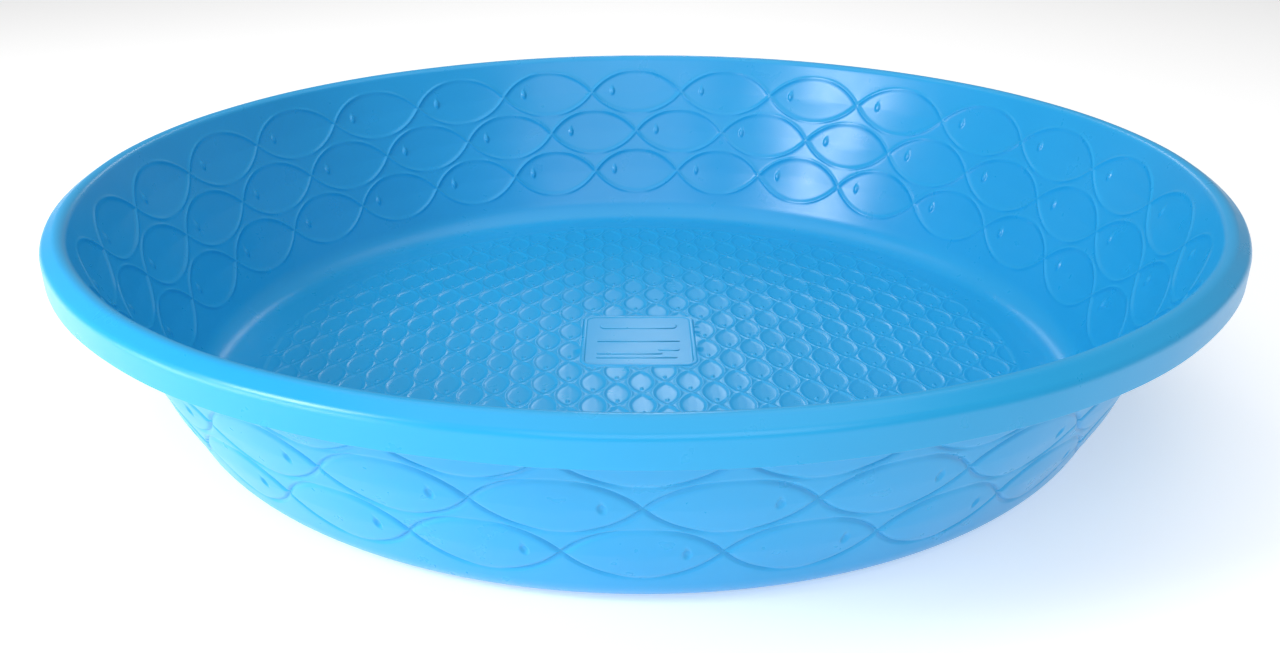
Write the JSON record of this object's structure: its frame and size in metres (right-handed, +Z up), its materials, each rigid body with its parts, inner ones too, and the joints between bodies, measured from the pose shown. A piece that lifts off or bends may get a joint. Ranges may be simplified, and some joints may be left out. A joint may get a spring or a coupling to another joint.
{
  "type": "wading pool",
  "caption": "Round shallow children's wading pool moulded in blue plastic, with a leaning side wall of embossed fish, a small-fish floor pattern and a rolled, skirted rim.",
  "frame": {"origin": "centre of the flat underside, on the surface that the pool stands on", "axes": "+Z up along the pool's axis; +Y towards the back; the small fish on the floor face -Y, and the label plate lies a little behind the centre"},
  "size_m": [1.143, 1.143, 0.213],
  "materials": {
    "pool_plastic": "semi-gloss polyethylene, pigmented light blue"
  },
  "bodies": {
    "root": {"floor_panel": "pool_plastic", "heel_ring": "pool_plastic", "side_wall": "pool_plastic", "rim_roll": "pool_plastic", "rim_skirt": "pool_plastic", "floor_pattern": "pool_plastic", "label_plate": "pool_plastic"}
  },
  "joints": []
}
